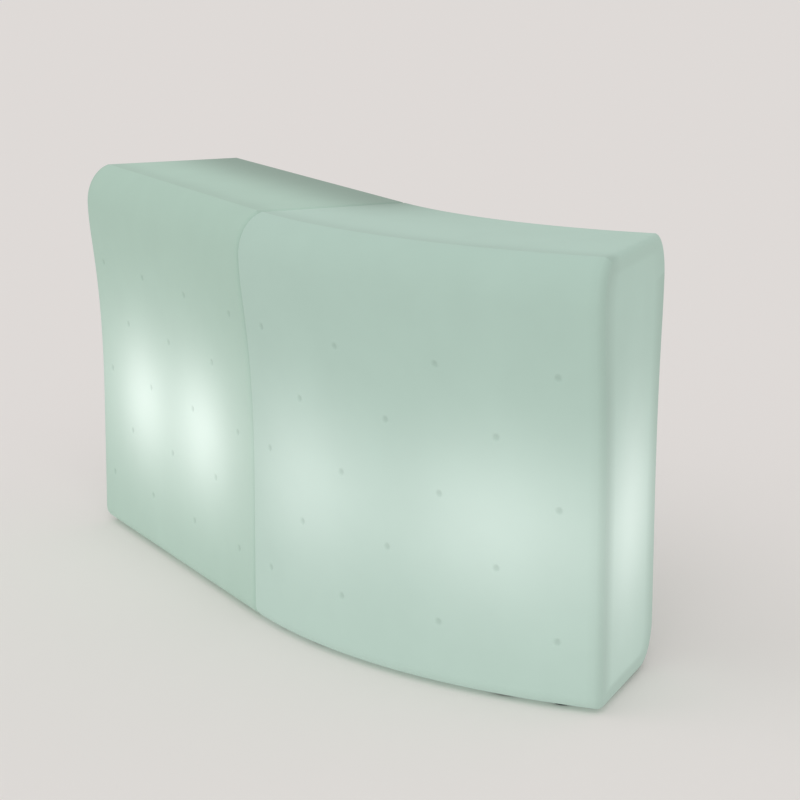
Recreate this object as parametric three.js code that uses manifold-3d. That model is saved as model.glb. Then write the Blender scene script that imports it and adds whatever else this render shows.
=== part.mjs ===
// Illuminated bar counter with rear shelves: a straight module and a curved module that stand end to end.
// Units are millimetres, +Z is up, customers stand on the -Y side, and the origin is on the floor at the
// middle of the footprint. Each module is drawn in its own space: s runs along the front from the module's
// left end, n runs back from the plumb part of the front face, and z is the height above the floor. A plan
// then lays that space out along a line or along an arc.

import * as THREE from "three";
import { mergeVertices } from "three/addons/utils/BufferGeometryUtils.js";
import Module from "manifold-3d";

const wasm = await Module();
wasm.setup();

// Overall sizes
const HEIGHT = 1100; // floor to counter top
const DEPTH = 470; // plumb front face to plumb rear face
const STRAIGHT_LENGTH = 1170; // straight module, end to end
const CURVE_RADIUS = 1600; // plan radius of the curved module's plumb front face
const CURVE_SWEEP = THREE.MathUtils.degToRad(43); // angle between the curved module's ends
const SEAM_GAP = 1; // between the facing ends of the two modules
const SEAT = 0.3; // clearance between pieces that rest on each other
const OVERCUT = 2; // how far a cutting tool runs past the face that it cuts

// Facets of round shapes
const ARC_FACETS = 20; // along the curved module
const CORNER_FACETS = 4; // in a quarter turn
const NOSE_FACETS = 8; // in the counter's nose
const FLARE_FACETS = 8; // in the flare under the nose
const ROUND_FACETS = 16; // in a full turn
const DIMPLE_FACETS = 8;

// Moulded shell
const WALL = 7;
const END_RADIUS = 18; // round edges of the module's ends
const FRONT_FOOT_RADIUS = 35;
const REAR_FOOT_RADIUS = 108;
const NOSE_OVERHANG = 40; // how far each nose stands out over its plumb face, front and rear
const NOSE_DEPTH = 68; // tip of the nose to the crease where the flat top starts
const NOSE_HEIGHT = 108; // tip of the nose to the top
const NOSE_SWEEP = THREE.MathUtils.degToRad(78); // turn of the nose's ellipse from its tip to the crease
const FLARE_START = 410; // height at which the plumb face starts to lean out to the nose

// Moulded dimples on the front, in rows that are staggered by half a pitch
const DIMPLE_COLUMNS = 7;
const DIMPLE_ROWS = 5;
const DIMPLE_COLUMN_PITCH = 163;
const DIMPLE_FIRST_ROW = 173;
const DIMPLE_ROW_PITCH = 161;
const DIMPLE_RADIUS = 10;
const DIMPLE_FLOOR_RADIUS = 6;
const DIMPLE_DEPTH = 3;

// Niche liner at the rear
const LINER_WALL = 4;
const LINER_CLEARANCE = 1; // around the liner in the shell's rear opening
const FLANGE_WIDTH = 24;
const NICHE_SIDE = 65; // module end to the niche
const NICHE_BACK = 165; // plumb front face to the niche's back wall
const NICHE_BOTTOM = 150;
const NICHE_HEADROOM = 120; // niche ceiling to counter top
const NICHE_CORNER = 25;
const BACK_STANDOFF = 0.8; // between the niche's back wall, which may be curved, and a flat piece on it

// Shelves and what carries them
const LOWER_SHELF = 425; // floor to the underside of the lower shelf
const UPPER_SHELF = 705;
const SHELF_THICKNESS = 14;
const SHELF_SETBACK = 20; // rear face to the shelf's open edge
const SHELF_GAP = 2; // around a shelf board, and between the two halves of a curved one
const RAIL_LEG = 24;
const RAIL_THICKNESS = 2;
const RAIL_INSET = 12; // shelf edge to rail end
const BRACKET_REACH = 220;
const BRACKET_DROP = 120;
const BRACKET_WIDTH = 44;
const BRACKET_THICKNESS = 4;

// Levelling feet
const PAD_HEIGHT = 10;
const PAD_RADIUS = 26;
const PAD_CHAMFER = 2;
const STEM_RADIUS = 6;
const STEM_LENGTH = 42;
const STEM_CLEARANCE = 0.3;
const BOSS_RADIUS = 16;
const BOSS_HEIGHT = 26; // moulded boss over the shell's floor that takes the stem
const FOOT_END_INSET = 120; // module end to a foot
const FOOT_FRONT_EDGE = 40; // front edge of the flat base to the front feet
const FOOT_REAR_EDGE = 45; // rear edge of the flat base to the rear feet

// Lamps
const STRAIGHT_LAMP_SPACING = 465; // between the straight module's two lamps
const CURVED_LAMP_SPACING = 640; // between the curved module's two lamps
const LAMP_SETBACK = 100; // plumb front face to the lamps
const PLATE_RADIUS = 55;
const PLATE_THICKNESS = 4;
const LAMP_HOLE_RADIUS = 42;
const HOUSING_RADIUS = 30;
const HOUSING_HEIGHT = 34;
const COLUMN_RADIUS = 14;
const COLUMN_HEIGHT = 70;
const SOCKET_RADIUS = 24;
const SOCKET_HEIGHT = 28;
const LAMP_LENGTH = 535;
const TUBE_RADIUS = 8.75;
const TUBE_SPACING = 23;
const CAP_HEIGHT = 22;
const CAP_MARGIN = 3; // lamp cap beyond the tubes
const BRIDGE_HEIGHT = 14; // joins the two tubes at the top

// Electrics inside the shell
const BALLAST_LENGTH = 230;
const BALLAST_DEPTH = 44;
const BALLAST_HEIGHT = 32;
const BALLAST_SETBACK = 250;
const WIRE_RADIUS = 3.5;
const WIRE_SIDES = 8;
const WIRE_STEPS = 24;
const WIRE_GAP = 23; // ballast to the middle of the wire that passes it
const WIRE_BEND = 70; // along the front, lamp to the place where the wire has turned
const GLAND_SIDE = 70; // niche side wall to the cable gland
const GLAND_RISE = 55; // niche floor to the cable gland
const GLAND_BORE = 4;
const GLAND_THREAD_RADIUS = 8;
const GLAND_THREAD_LENGTH = 16;
const GLAND_FLANGE_RADIUS = 13;
const GLAND_FLANGE_LENGTH = 6;
const GLAND_DOME_RADIUS = 10;
const GLAND_DOME_LENGTH = 14;

// Link plates under the seam
const LINK_LENGTH = 120;
const LINK_WIDTH = 40;
const LINK_THICKNESS = 4;
const FRONT_LINK_SETBACK = 150; // plumb front face to the front link plate
const REAR_LINK_SETBACK = 300;
const LINK_BOLT_OFFSET = 38; // seam to bolt
const BOLT_RADIUS = 4;
const BOLT_HEAD_RADIUS = 8;
const BOLT_HEAD_HEIGHT = 4;
const BOLT_END = 10; // bolt beyond the shell's floor
const BOLT_CLEARANCE = 0.3;

// Places that follow from the sizes above
const BASE = PAD_HEIGHT + SEAT; // underside of the shell
const FLOOR = BASE + WALL; // upper face of the shell's floor
const NOSE_Z = HEIGHT - NOSE_HEIGHT; // where the nose stands out furthest
const NICHE_TOP = HEIGHT - NICHE_HEADROOM;
const FOOT_FRONT = FRONT_FOOT_RADIUS + FOOT_FRONT_EDGE; // plumb front face to the front feet
const FOOT_REAR = DEPTH - REAR_FOOT_RADIUS - FOOT_REAR_EDGE;
const WIRE_BACK = BALLAST_SETBACK - BALLAST_DEPTH / 2 - WIRE_GAP; // plumb face to the wire behind the lamps
const SHELF_LEVELS = { lower: LOWER_SHELF, upper: UPPER_SHELF };
const LINK_SETBACKS = { front: FRONT_LINK_SETBACK, rear: REAR_LINK_SETBACK };

const material = (color, roughness, metalness) =>
  new THREE.MeshStandardMaterial({ color, roughness, metalness });
const MATERIALS = {
  polyethylene: material(0xb6d0c2, 0.45, 0),
  liner: material(0xc4d8cc, 0.5, 0),
  laminate: material(0xe6ebe6, 0.35, 0),
  aluminium: material(0xb9bdbf, 0.4, 0.9),
  galvanised: material(0xa3a8aa, 0.5, 0.9),
  lampGlass: material(0xf4f8f2, 0.2, 0),
  whitePlastic: material(0xe2e4e0, 0.45, 0),
  blackPlastic: material(0x23262a, 0.6, 0),
};

// Plans

function straightPlan() {
  return {
    length: STRAIGHT_LENGTH,
    lampSpacing: STRAIGHT_LAMP_SPACING,
    at: (s, n) => new THREE.Vector2(s - STRAIGHT_LENGTH - SEAM_GAP / 2, n),
    yaw: () => 0,
    stations: (from, to) => [from, to],
  };
}

function curvedPlan() {
  const length = CURVE_RADIUS * CURVE_SWEEP;
  const pitch = length / ARC_FACETS;
  const shared = Array.from({ length: ARC_FACETS + 1 }, (_, i) => i * pitch);
  return {
    length,
    lampSpacing: CURVED_LAMP_SPACING,
    at: (s, n) => {
      const turn = s / CURVE_RADIUS;
      const radius = CURVE_RADIUS - n;
      return new THREE.Vector2(
        radius * Math.sin(turn) + SEAM_GAP / 2,
        CURVE_RADIUS - radius * Math.cos(turn),
      );
    },
    yaw: (s) => s / CURVE_RADIUS,
    stations: (from, to) => {
      const between = shared.filter((s) => s > from + OVERCUT && s < to - OVERCUT);
      return [from, ...between, to];
    },
  };
}

// Bends a geometry from a module's own space to where the plan puts it.
function lay(geometry, plan) {
  const position = geometry.attributes.position;
  for (let i = 0; i < position.count; i++) {
    const spot = plan.at(position.getX(i), position.getY(i));
    position.setXY(i, spot.x, spot.y);
  }
  return geometry;
}

// The upright frame at a point of a module's space: X runs along the front there, and Y runs to the rear.
function frameAt(plan, s, n, z) {
  const spot = plan.at(s, n);
  return new THREE.Matrix4()
    .makeRotationZ(plan.yaw(s))
    .setPosition(spot.x, spot.y, z);
}

// Solids

function solid(geometry) {
  const bare = geometry.clone();
  bare.deleteAttribute("normal");
  bare.deleteAttribute("uv");
  const merged = mergeVertices(bare);
  return new wasm.Manifold(
    new wasm.Mesh({
      numProp: 3,
      vertProperties: merged.attributes.position.array,
      triVerts: new Uint32Array(merged.index.array),
    }),
  );
}

const join = (solids) => solids.reduce((whole, next) => whole.add(next));
const cut = (body, tools) => tools.reduce((rest, tool) => rest.subtract(tool), body);

function geometryOf(body) {
  const { vertProperties, triVerts } = body.getMesh();
  return new THREE.BufferGeometry()
    .setAttribute("position", new THREE.BufferAttribute(vertProperties, 3))
    .setIndex(new THREE.BufferAttribute(triVerts, 1));
}

// A closed skin through rings with equal numbers of points. Each ring lies across the module and runs
// anticlockwise as seen from the module's right.
function loft(rings) {
  const count = rings[0].length;
  const last = (rings.length - 1) * count;
  const index = [];
  for (let i = 0; i < last; i += count) {
    for (let j = 0; j < count; j++) {
      const k = (j + 1) % count;
      index.push(i + j, i + k, i + count + k);
      index.push(i + j, i + count + k, i + count + j);
    }
  }
  const outline = rings[0].map((point) => new THREE.Vector2(point.y, point.z));
  for (const [a, b, c] of THREE.ShapeUtils.triangulateShape(outline, [])) {
    index.push(c, b, a);
    index.push(last + a, last + b, last + c);
  }
  const points = rings.flat().flatMap((point) => point.toArray());
  return new THREE.BufferGeometry()
    .setAttribute("position", new THREE.Float32BufferAttribute(points, 3))
    .setIndex(index);
}

// The stations of a long piece with round corners at both ends, and how far the corner draws each one in.
function roundedStations(plan, [from, to], radius) {
  const start = Array.from({ length: CORNER_FACETS + 1 }, (_, i) => {
    const turn = (i / CORNER_FACETS) * (Math.PI / 2);
    return { s: from + radius * (1 - Math.cos(turn)), drawn: radius * (1 - Math.sin(turn)) };
  });
  const middle = plan
    .stations(from + radius, to - radius)
    .slice(1, -1)
    .map((s) => ({ s, drawn: 0 }));
  const end = start.map(({ s, drawn }) => ({ s: from + to - s, drawn })).reverse();
  return [...start, ...middle, ...end];
}

// A block of a module's space with rectangular rings, divided at the plan's stations.
function block(plan, stations, n, z) {
  const rings = stations.map(({ s, drawn }) => [
    new THREE.Vector3(s, n[0], z[0] + drawn),
    new THREE.Vector3(s, n[1], z[0] + drawn),
    new THREE.Vector3(s, n[1], z[1] - drawn),
    new THREE.Vector3(s, n[0], z[1] - drawn),
  ]);
  return solid(lay(loft(rings), plan));
}

const arc = (centre, radii, from, to, facets) =>
  new THREE.EllipseCurve(...centre, ...radii, from, to).getPoints(facets);

// A turned piece that stands along Z: radii and heights from the bottom up.
function turned(profile, facets = ROUND_FACETS) {
  const points = profile.map(([radius, z]) => new THREE.Vector2(radius, z));
  return new THREE.LatheGeometry(points, facets).rotateX(Math.PI / 2);
}

const post = (radius, from, to) => turned([[0, from], [radius, from], [radius, to], [0, to]]);

// A box in an upright frame, between two corners.
function box(from, to) {
  const size = to.map((value, i) => value - from[i]);
  const centre = to.map((value, i) => (value + from[i]) / 2);
  return new THREE.BoxGeometry(...size).translate(...centre);
}

// The shell

// How far the front and rear faces stand out at a height: nothing on the plumb part, then a hollow flare that
// ends upright at the tip of the nose.
function faceOverhang(z) {
  const rise = THREE.MathUtils.clamp((z - FLARE_START) / (NOSE_Z - FLARE_START), 0, 1);
  return NOSE_OVERHANG * rise ** 2 * (1 + 2 * (1 - rise) * rise ** 4);
}

// The module's section in n and z, drawn in by inset on all sides.
function section(inset) {
  const front = inset;
  const rear = DEPTH - inset;
  const low = BASE + inset;
  const frontFoot = Math.max(FRONT_FOOT_RADIUS - inset, 1);
  const rearFoot = Math.max(REAR_FOOT_RADIUS - inset, 1);
  const frontRadii = [frontFoot, frontFoot];
  const rearRadii = [rearFoot, rearFoot];
  const noseWidth = NOSE_DEPTH / (1 - Math.cos(NOSE_SWEEP));
  const noseRise = NOSE_HEIGHT / Math.sin(NOSE_SWEEP);
  const nose = [noseWidth - inset, noseRise - inset];
  const sweep = Math.asin((NOSE_HEIGHT - inset) / nose[1]);
  const frontNose = [noseWidth - NOSE_OVERHANG, NOSE_Z];
  const rearNose = [DEPTH + NOSE_OVERHANG - noseWidth, NOSE_Z];
  const flare = Array.from({ length: FLARE_FACETS }, (_, i) =>
    THREE.MathUtils.lerp(FLARE_START, NOSE_Z, i / FLARE_FACETS),
  );
  return [
    ...arc([front + frontFoot, low + frontFoot], frontRadii, Math.PI, 1.5 * Math.PI, CORNER_FACETS),
    ...arc([rear - rearFoot, low + rearFoot], rearRadii, -Math.PI / 2, 0, CORNER_FACETS),
    ...flare.map((z) => new THREE.Vector2(rear + faceOverhang(z), z)),
    ...arc(rearNose, nose, 0, sweep, NOSE_FACETS),
    ...arc(frontNose, nose, Math.PI - sweep, Math.PI, NOSE_FACETS),
    ...flare.map((z) => new THREE.Vector2(front - faceOverhang(z), z)).reverse(),
  ];
}

// The section run along a module, with round edges at both ends.
function moulding(plan, inset) {
  const radius = Math.max(END_RADIUS - inset, 1);
  const stations = roundedStations(plan, [inset, plan.length - inset], radius);
  const rings = stations.map(({ s, drawn }) =>
    section(inset + drawn).map((point) => new THREE.Vector3(s, point.x, point.y)),
  );
  return solid(lay(loft(rings), plan));
}

// The niche grown by a margin on all four sides, between two depths.
function nicheBlock(plan, margin, n) {
  const ends = [NICHE_SIDE - margin, plan.length - NICHE_SIDE + margin];
  const stations = roundedStations(plan, ends, NICHE_CORNER + margin);
  return block(plan, stations, n, [NICHE_BOTTOM - margin, NICHE_TOP + margin]);
}

function dimples(plan) {
  const margin = (plan.length - (DIMPLE_COLUMNS - 1) * DIMPLE_COLUMN_PITCH) / 2;
  const pits = [];
  for (let row = 0; row < DIMPLE_ROWS; row++) {
    for (let column = row % 2; column < DIMPLE_COLUMNS; column += 2) {
      const z = DIMPLE_FIRST_ROW + row * DIMPLE_ROW_PITCH;
      const slope = (DIMPLE_RADIUS - DIMPLE_FLOOR_RADIUS) / DIMPLE_DEPTH;
      const pit = turned(
        [
          [0, -DIMPLE_DEPTH],
          [DIMPLE_FLOOR_RADIUS, -DIMPLE_DEPTH],
          [DIMPLE_RADIUS + slope * OVERCUT, OVERCUT],
          [0, OVERCUT],
        ],
        DIMPLE_FACETS,
      ).rotateX(Math.PI / 2);
      const place = frameAt(plan, margin + column * DIMPLE_COLUMN_PITCH, -faceOverhang(z), z);
      pits.push(solid(pit.applyMatrix4(place)));
    }
  }
  return pits;
}

const footSpots = (plan) => ({
  front_left: [FOOT_END_INSET, FOOT_FRONT],
  front_right: [plan.length - FOOT_END_INSET, FOOT_FRONT],
  rear_left: [FOOT_END_INSET, FOOT_REAR],
  rear_right: [plan.length - FOOT_END_INSET, FOOT_REAR],
});

const lampSpots = (plan) => ({
  left: [(plan.length - plan.lampSpacing) / 2, LAMP_SETBACK],
  right: [(plan.length + plan.lampSpacing) / 2, LAMP_SETBACK],
});

const linkBolts = () =>
  Object.entries(LINK_SETBACKS).flatMap(([end, n]) => [
    { name: `${end}_link_bolt_left`, x: -LINK_BOLT_OFFSET, y: n },
    { name: `${end}_link_bolt_right`, x: LINK_BOLT_OFFSET, y: n },
  ]);

function shell(plan) {
  const stand = ([s, n], piece) => solid(piece.applyMatrix4(frameAt(plan, s, n, 0)));
  const feet = Object.values(footSpots(plan));
  const lamps = Object.values(lampSpots(plan));
  const bossTop = FLOOR + BOSS_HEIGHT;
  const opening = nicheBlock(
    plan,
    LINER_WALL + LINER_CLEARANCE,
    [DEPTH - WALL - OVERCUT, DEPTH + NOSE_OVERHANG + OVERCUT],
  );
  const hollow = cut(moulding(plan, 0), [moulding(plan, WALL), opening, ...dimples(plan)]);
  const bosses = feet.map((spot) => stand(spot, post(BOSS_RADIUS, BASE + WALL / 2, bossTop)));
  const holes = [
    ...feet.map((spot) =>
      stand(spot, post(STEM_RADIUS + STEM_CLEARANCE, BASE - OVERCUT, bossTop + OVERCUT)),
    ),
    ...lamps.map((spot) => stand(spot, post(LAMP_HOLE_RADIUS, BASE - OVERCUT, FLOOR + OVERCUT))),
    ...linkBolts().map(({ x, y }) =>
      solid(post(BOLT_RADIUS + BOLT_CLEARANCE, BASE - OVERCUT, FLOOR + OVERCUT).translate(x, y, 0)),
    ),
  ];
  return cut(join([hollow, ...bosses]), holes);
}

// The niche liner: a tray that goes in through the shell's rear opening, with a flange that follows the
// shell's rear face.
function liner(plan) {
  const clear = DEPTH + NOSE_OVERHANG + SEAT + LINER_WALL + OVERCUT;
  const past = clear + OVERCUT;
  const tray = nicheBlock(plan, LINER_WALL, [NICHE_BACK - LINER_WALL, clear]);
  const rim = nicheBlock(plan, FLANGE_WIDTH, [DEPTH - FLANGE_WIDTH, past]);
  const flange = rim.subtract(moulding(plan, -SEAT));
  const margin = FLANGE_WIDTH + OVERCUT;
  const beyond = nicheBlock(plan, margin, [DEPTH - margin, past + OVERCUT]);
  const trim = beyond.subtract(moulding(plan, -SEAT - LINER_WALL));
  const niche = nicheBlock(plan, 0, [NICHE_BACK, past]);
  const glandHole = post(
    GLAND_THREAD_RADIUS + SEAT, NICHE_BACK - LINER_WALL - OVERCUT, NICHE_BACK + OVERCUT,
  ).rotateX(-Math.PI / 2);
  const place = frameAt(plan, NICHE_SIDE + GLAND_SIDE, 0, NICHE_BOTTOM + GLAND_RISE);
  return cut(join([tray, flange]), [trim, niche, solid(glandHole.applyMatrix4(place))]);
}

// Shelves, their side rails and their middle brackets

function shelf(plan, from, to, underside) {
  return block(
    plan,
    plan.stations(from, to).map((s) => ({ s, drawn: 0 })),
    [NICHE_BACK + SHELF_GAP, DEPTH - SHELF_SETBACK],
    [underside, underside + SHELF_THICKNESS],
  );
}

// An angle that runs to the rear along a niche side wall. side is 1 on the left wall and -1 on the right one.
function rail(side, underside) {
  const run = [NICHE_BACK + SHELF_GAP + RAIL_INSET, DEPTH - SHELF_SETBACK - RAIL_INSET];
  const top = underside - SEAT;
  const wall = SEAT * side;
  const leg = (width, height) => {
    const [low, high] = [wall, wall + width * side].sort((a, b) => a - b);
    return solid(box([low, run[0], top - height], [high, run[1], top]));
  };
  return join([leg(RAIL_THICKNESS, RAIL_LEG), leg(RAIL_LEG, RAIL_THICKNESS)]);
}

// A gusset with a top and a back plate, on the niche's back wall.
function bracket(underside) {
  const top = underside - SEAT;
  const back = NICHE_BACK + BACK_STANDOFF;
  const half = BRACKET_WIDTH / 2;
  const gusset = new THREE.Shape([
    new THREE.Vector2(back, top),
    new THREE.Vector2(back, top - BRACKET_DROP),
    new THREE.Vector2(back + BRACKET_THICKNESS, top - BRACKET_DROP),
    new THREE.Vector2(back + BRACKET_REACH, top - BRACKET_THICKNESS),
    new THREE.Vector2(back + BRACKET_REACH, top),
  ]);
  const web = new THREE.ExtrudeGeometry(gusset, { depth: BRACKET_THICKNESS, bevelEnabled: false })
    .translate(0, 0, -BRACKET_THICKNESS / 2)
    .applyMatrix4(new THREE.Matrix4().set(0, 0, 1, 0, 1, 0, 0, 0, 0, 1, 0, 0, 0, 0, 0, 1));
  const topPlate = box([-half, back, top - BRACKET_THICKNESS], [half, back + BRACKET_REACH, top]);
  const backPlate = box([-half, back, top - BRACKET_DROP], [half, back + BRACKET_THICKNESS, top]);
  return join([web, topPlate, backPlate].map(solid));
}

// Levelling foot: a pad on a threaded stem, modelled as a plain stem.
function foot() {
  return turned([
    [0, 0],
    [PAD_RADIUS - PAD_CHAMFER, 0],
    [PAD_RADIUS, PAD_CHAMFER],
    [PAD_RADIUS, PAD_HEIGHT],
    [STEM_RADIUS, PAD_HEIGHT],
    [STEM_RADIUS, PAD_HEIGHT + STEM_LENGTH],
    [0, PAD_HEIGHT + STEM_LENGTH],
  ]);
}

// Lamp unit: an access plate under the shell, a holder that stands on it, and a twin-tube lamp

const lampPlate = () => post(PLATE_RADIUS, BASE - SEAT - PLATE_THICKNESS, BASE - SEAT);

function lampHolder() {
  const heights = [BASE, HOUSING_HEIGHT, COLUMN_HEIGHT, SOCKET_HEIGHT];
  const [foot, housing, column, socket] = heights.map((_, i) =>
    heights.slice(0, i + 1).reduce((sum, height) => sum + height),
  );
  return turned([
    [0, foot],
    [HOUSING_RADIUS, foot],
    [HOUSING_RADIUS, housing],
    [COLUMN_RADIUS, housing],
    [COLUMN_RADIUS, column],
    [SOCKET_RADIUS, column],
    [SOCKET_RADIUS, socket],
    [0, socket],
  ]);
}

function lamp() {
  const low = BASE + HOUSING_HEIGHT + COLUMN_HEIGHT + SOCKET_HEIGHT + SEAT;
  const high = low + LAMP_LENGTH;
  const reach = TUBE_SPACING / 2;
  const capWidth = reach + TUBE_RADIUS + CAP_MARGIN;
  const capDepth = TUBE_RADIUS + CAP_MARGIN;
  const tubes = [-reach, reach].map((x) => post(TUBE_RADIUS, low, high).translate(x, 0, 0));
  const cap = box([-capWidth, -capDepth, low], [capWidth, capDepth, low + CAP_HEIGHT]);
  const bridge = post(TUBE_RADIUS / 2, -reach, reach)
    .rotateY(Math.PI / 2)
    .translate(0, 0, high - BRIDGE_HEIGHT);
  return join([cap, ...tubes, bridge].map(solid));
}

// Ballast, wire and cable gland

function ballast() {
  const low = FLOOR + SEAT;
  return box(
    [-BALLAST_LENGTH / 2, -BALLAST_DEPTH / 2, low],
    [BALLAST_LENGTH / 2, BALLAST_DEPTH / 2, low + BALLAST_HEIGHT],
  );
}

// The wire leaves one lamp holder, passes the ballast on the shell's floor and reaches the other holder.
function wire(plan) {
  const [from, to] = Object.values(lampSpots(plan)).map(([s]) => s);
  const z = FLOOR + WIRE_RADIUS + SEAT;
  const beside = (s, distance) =>
    new THREE.Vector3(distance, 0, z).applyMatrix4(frameAt(plan, s, LAMP_SETBACK, 0));
  const behind = (s, n) => {
    const spot = plan.at(s, n);
    return new THREE.Vector3(spot.x, spot.y, z);
  };
  const outlet = HOUSING_RADIUS + SEAT;
  const straight = outlet + WIRE_RADIUS * 4;
  const slope = outlet + WIRE_BEND;
  const points = [
    beside(from, outlet),
    beside(from, straight),
    behind(from + slope, (LAMP_SETBACK + WIRE_BACK) / 2),
    behind(from + slope + WIRE_BEND, WIRE_BACK),
    behind((from + to) / 2, WIRE_BACK),
    behind(to - slope - WIRE_BEND, WIRE_BACK),
    behind(to - slope, (LAMP_SETBACK + WIRE_BACK) / 2),
    beside(to, -straight),
    beside(to, -outlet),
  ];
  const skin = new THREE.Shape(
    new THREE.EllipseCurve(0, 0, WIRE_RADIUS, WIRE_RADIUS).getPoints(WIRE_SIDES).slice(1),
  );
  const path = new THREE.CatmullRomCurve3(points);
  return new THREE.ExtrudeGeometry(skin, { steps: WIRE_STEPS, extrudePath: path, bevelEnabled: false });
}

// The gland screws into the niche's back wall. The lead goes in through its bore from the niche.
function gland() {
  const seat = NICHE_BACK + BACK_STANDOFF;
  const flange = seat + GLAND_FLANGE_LENGTH;
  const dome = flange + GLAND_DOME_LENGTH;
  const inner = seat - GLAND_THREAD_LENGTH;
  return turned([
    [GLAND_BORE, inner],
    [GLAND_THREAD_RADIUS, inner],
    [GLAND_THREAD_RADIUS, seat],
    [GLAND_FLANGE_RADIUS, seat],
    [GLAND_FLANGE_RADIUS, flange],
    [GLAND_DOME_RADIUS, flange],
    [GLAND_DOME_RADIUS, dome],
    [GLAND_BORE, dome],
    [GLAND_BORE, inner],
  ]).rotateX(-Math.PI / 2);
}

// Link plates and their bolts, which hold the two modules together from below

function linkPlate(n) {
  const top = BASE - SEAT;
  const plate = box(
    [-LINK_LENGTH / 2, n - LINK_WIDTH / 2, top - LINK_THICKNESS],
    [LINK_LENGTH / 2, n + LINK_WIDTH / 2, top],
  );
  const holes = [-LINK_BOLT_OFFSET, LINK_BOLT_OFFSET].map((x) =>
    solid(
      post(BOLT_RADIUS + BOLT_CLEARANCE, top - LINK_THICKNESS - OVERCUT, top + OVERCUT).translate(x, n, 0),
    ),
  );
  return cut(solid(plate), holes);
}

function linkBolt() {
  const head = BASE - 2 * SEAT - LINK_THICKNESS;
  return turned([
    [0, head - BOLT_HEAD_HEIGHT],
    [BOLT_HEAD_RADIUS, head - BOLT_HEAD_HEIGHT],
    [BOLT_HEAD_RADIUS, head],
    [BOLT_RADIUS, head],
    [BOLT_RADIUS, FLOOR + BOLT_END],
    [0, FLOOR + BOLT_END],
  ]);
}

// The assembly

function named(name, shape, finish, place) {
  const geometry = shape.isBufferGeometry ? shape : geometryOf(shape);
  geometry.computeVertexNormals();
  const mesh = new THREE.Mesh(geometry, finish);
  mesh.name = name;
  if (place) mesh.applyMatrix4(place);
  return mesh;
}

function shelfParts(name, plan, halves) {
  const middle = plan.length / 2;
  const start = NICHE_SIDE + SHELF_GAP;
  const end = plan.length - start;
  const boards = halves
    ? { left_: [start, middle - SHELF_GAP / 2], right_: [middle + SHELF_GAP / 2, end] }
    : { "": [start, end] };
  const walls = { left: [1, NICHE_SIDE], right: [-1, plan.length - NICHE_SIDE] };
  const parts = [];
  for (const [level, underside] of Object.entries(SHELF_LEVELS)) {
    for (const [half, [from, to]] of Object.entries(boards)) {
      const board = shelf(plan, from, to, underside);
      parts.push(named(`${name}_${level}_${half}shelf`, board, MATERIALS.laminate));
    }
    for (const [hand, [side, s]] of Object.entries(walls)) {
      const place = frameAt(plan, s, 0, 0);
      parts.push(named(`${name}_${level}_${hand}_rail`, rail(side, underside), MATERIALS.aluminium, place));
    }
    const place = frameAt(plan, middle, 0, 0);
    parts.push(named(`${name}_${level}_bracket`, bracket(underside), MATERIALS.aluminium, place));
  }
  return parts;
}

function lampParts(name, plan) {
  return Object.entries(lampSpots(plan)).flatMap(([hand, [s, n]]) => {
    const place = frameAt(plan, s, n, 0);
    return [
      named(`${name}_${hand}_lamp_plate`, lampPlate(), MATERIALS.galvanised, place),
      named(`${name}_${hand}_lamp_holder`, lampHolder(), MATERIALS.whitePlastic, place),
      named(`${name}_${hand}_lamp`, lamp(), MATERIALS.lampGlass, place),
    ];
  });
}

function module(name, plan, halves) {
  const group = new THREE.Group();
  const glandPlace = frameAt(plan, NICHE_SIDE + GLAND_SIDE, 0, NICHE_BOTTOM + GLAND_RISE);
  const ballastPlace = frameAt(plan, plan.length / 2, BALLAST_SETBACK, 0);
  group.add(
    named(`${name}_shell`, shell(plan), MATERIALS.polyethylene),
    named(`${name}_niche_liner`, liner(plan), MATERIALS.liner),
    ...shelfParts(name, plan, halves),
    ...lampParts(name, plan),
    named(`${name}_ballast`, ballast(), MATERIALS.whitePlastic, ballastPlace),
    named(`${name}_lamp_wire`, wire(plan), MATERIALS.whitePlastic),
    named(`${name}_cable_gland`, gland(), MATERIALS.blackPlastic, glandPlace),
    ...Object.entries(footSpots(plan)).map(([corner, [s, n]]) =>
      named(`${name}_${corner}_foot`, foot(), MATERIALS.blackPlastic, frameAt(plan, s, n, 0)),
    ),
  );
  return group;
}

const counter = new THREE.Group();
counter.add(module("straight", straightPlan(), false), module("curved", curvedPlan(), true));
for (const [end, n] of Object.entries(LINK_SETBACKS))
  counter.add(named(`${end}_link_plate`, linkPlate(n), MATERIALS.galvanised));
for (const { name, x, y } of linkBolts())
  counter.add(named(name, linkBolt(), MATERIALS.galvanised, new THREE.Matrix4().setPosition(x, y, 0)));

const footprint = new THREE.Box3().setFromObject(counter).getCenter(new THREE.Vector3());
counter.position.set(-footprint.x, -footprint.y, 0);

const bar = new THREE.Group();
bar.add(counter);

export default bar;
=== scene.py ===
"""Illuminated bar counter with rear shelves: a straight and a curved moulded module, end to end.

All sizes are metres in the CAD frame. A module's own space has s along the front from its left end,
n back from the plumb part of its front face, and z above the floor.
"""

import math
from collections import namedtuple

import bmesh
import bpy
from bpy.props import FloatProperty, FloatVectorProperty, IntProperty, PointerProperty
from mathutils import Matrix, Vector


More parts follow.
